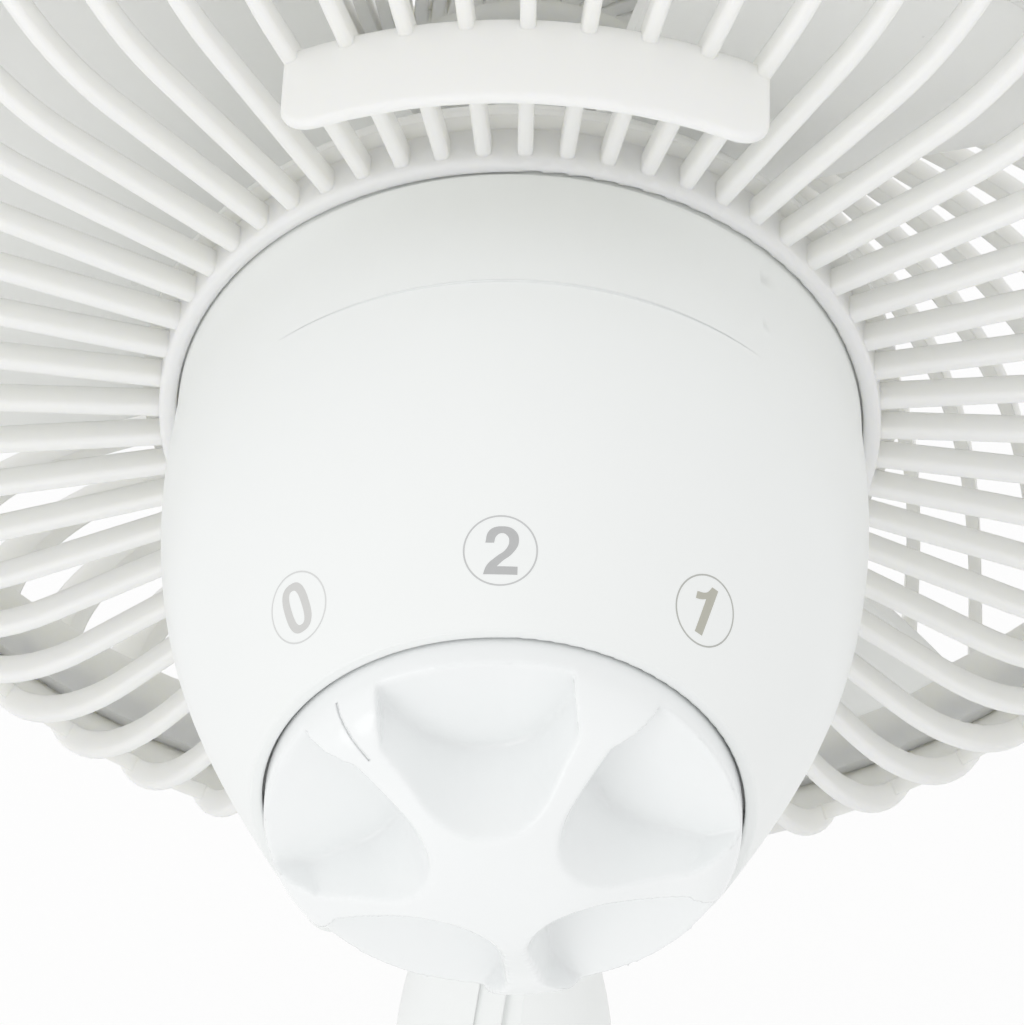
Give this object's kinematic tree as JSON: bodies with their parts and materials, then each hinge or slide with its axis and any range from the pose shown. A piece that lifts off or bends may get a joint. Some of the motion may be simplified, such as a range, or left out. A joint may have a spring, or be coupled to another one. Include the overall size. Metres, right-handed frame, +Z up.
{
  "type": "clip fan",
  "caption": "Small white clip-on fan: round ribbed guard, motor housing with a rear speed knob, tilting and swivelling neck, spring clip that doubles as a flat foot.",
  "frame": {"origin": "middle of the rubber sole's underside, under the neck's swivel axis", "axes": "+Z up, the fan blows towards -Y, +X is on the left of someone who looks at its back"},
  "size_m": [0.1914, 0.1373, 0.2667],
  "materials": {
    "guard_plastic": "satin moulded, warm off-white",
    "housing_plastic": "satin gloss moulded, white",
    "knob_plastic": "gloss moulded, cool white",
    "blade_plastic": "gloss moulded, pale grey",
    "switch_plastic": "moulded, black",
    "gland_rubber": "soft white",
    "pad_rubber": "ribbed, dark grey",
    "steel": "zinc plated",
    "spring_steel": "drawn wire",
    "lamination_steel": "stacked sheet",
    "bracket_steel": "pressed, zinc plated",
    "bearing_bronze": "sintered",
    "copper_wire": "enamelled wire",
    "felt": "wool felt, oiled",
    "nylon": "natural"
  },
  "bodies": {
    "foot": {"clip_lower_jaw": "housing_plastic", "lower_grip_pad": "pad_rubber", "rubber_sole": "pad_rubber", "hinge_pin": "steel", "pin_caps": "steel", "clip_spring": "spring_steel"},
    "upper_clip": {"clip_upper_jaw": "housing_plastic", "upper_grip_pad": "pad_rubber", "swivel_bolt": "steel", "swivel_washer": "steel", "swivel_nut": "steel"},
    "neck": {"neck": "housing_plastic", "tilt_bolt": "steel", "tilt_nut": "steel", "tilt_knob": "housing_plastic"},
    "head": {"rear_guard": "guard_plastic", "front_guard": "guard_plastic", "front_cap": "housing_plastic", "rim_screw": "steel", "stator_core": "lamination_steel", "stator_windings": "copper_wire", "front_bracket": "bracket_steel", "rear_bracket": "bracket_steel", "front_bush": "bearing_bronze", "rear_bush": "bearing_bronze", "oil_felts": "felt", "motor_screws": "steel", "plate_screws": "steel", "cover_screws": "steel", "motor_housing": "housing_plastic", "switch_body": "switch_plastic", "switch_nut": "steel", "cord_gland": "gland_rubber", "tilt_washers": "nylon"},
    "fan": {"fan_blade": "blade_plastic", "motor_shaft": "steel", "rotor": "lamination_steel", "thrust_washers": "nylon"},
    "knob": {"speed_knob": "knob_plastic", "switch_shaft": "steel"}
  },
  "joints": [
    {"name": "clip_open", "type": "hinge", "parent": "foot", "child": "upper_clip", "pos_m": [0, 0.01, 0.024], "axis": [-1, 0, 0], "range_deg": [0, 25], "stiffness_Nm_per_rad": 1.15, "springref_deg": -44.69, "deforming": ["clip_spring"]},
    {"name": "neck_swivel", "type": "hinge", "parent": "upper_clip", "child": "neck", "pos_m": [0, 0, 0.044], "axis": [0, 0, 1], "range_deg": [-90, 90]},
    {"name": "head_tilt", "type": "hinge", "parent": "neck", "child": "head", "pos_m": [0, 0, 0.117], "axis": [-1, 0, 0], "range_deg": [-25, 45]},
    {"name": "fan_spin", "type": "hinge", "parent": "head", "child": "fan", "pos_m": [0, -0.025, 0.171], "axis": [0, -1, 0], "continuous": true},
    {"name": "knob_turn", "type": "hinge", "parent": "head", "child": "knob", "pos_m": [0, 0.04, 0.171], "axis": [0, -1, 0], "range_deg": [0, 88]}
  ]
}
